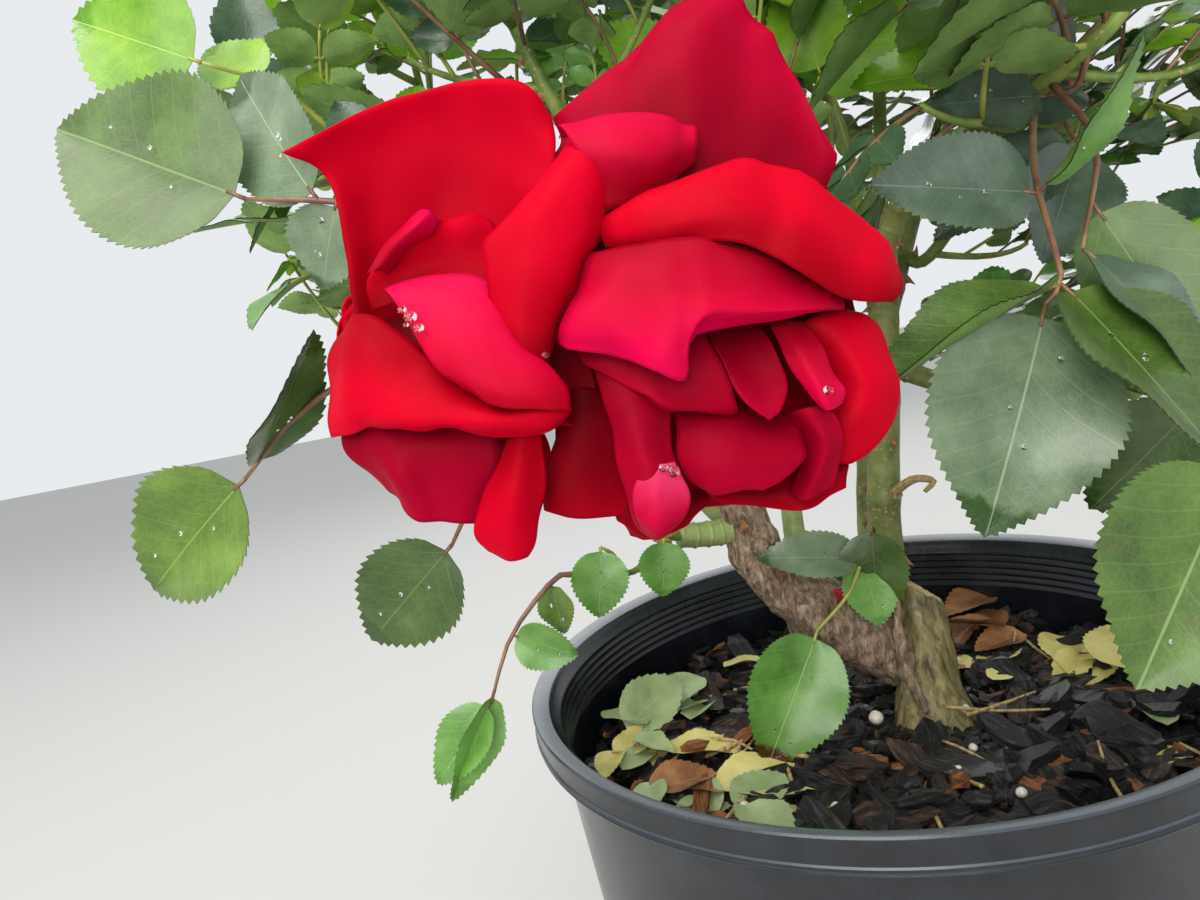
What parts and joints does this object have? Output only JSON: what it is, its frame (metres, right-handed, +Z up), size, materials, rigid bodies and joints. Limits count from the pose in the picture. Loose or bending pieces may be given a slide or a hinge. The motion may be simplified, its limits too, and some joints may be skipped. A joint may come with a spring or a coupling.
{
  "type": "potted rose bush",
  "caption": "Rose bush with crimson double blooms and glossy compound leaves, its canes rising from an old sawn stump, growing in a round black plastic nursery pot",
  "frame": {"origin": "middle of the pot's flat underside, on the ground", "axes": "+Z up; +Y away from the side that the picture shows, so the blooms face -Y; +X to the right"},
  "size_m": [0.4178, 0.3582, 0.6248],
  "materials": {
    "pot": "semi-gloss black injection-moulded plastic, lightly dusty",
    "mulch": "matt dark bark chips and potting mix",
    "bark": "rough grey-brown old bark",
    "cane": "satin green cane with tan specks",
    "leaf": "semi-gloss dark green leaves, wet in places",
    "bloom": "velvety crimson petals"
  },
  "bodies": {
    "root": {"pot": "pot", "mulch": "mulch", "stump": "bark", "old_bough": "bark", "green_stub": "cane", "main_cane": "cane", "right_cane": "cane", "low_right_cane": "cane", "left_cane": "cane", "back_cane": "cane", "right_back_cane": "cane", "left_back_cane": "cane", "top_spray": "leaf", "top_back_spray": "leaf", "top_left_spray": "leaf", "top_middle_spray": "leaf", "right_front_spray": "leaf", "right_top_spray": "leaf", "right_back_spray": "leaf", "right_spray": "leaf", "right_low_spray": "leaf", "front_right_spray": "leaf", "right_side_spray": "leaf", "bloom_truss": "bloom", "front_left_spray": "leaf", "left_back_spray": "leaf", "left_spray": "leaf", "left_low_spray": "leaf", "back_spray": "leaf", "back_low_spray": "leaf", "back_left_spray": "leaf", "low_leaf": "leaf", "hanging_sprig": "leaf"}
  },
  "joints": []
}
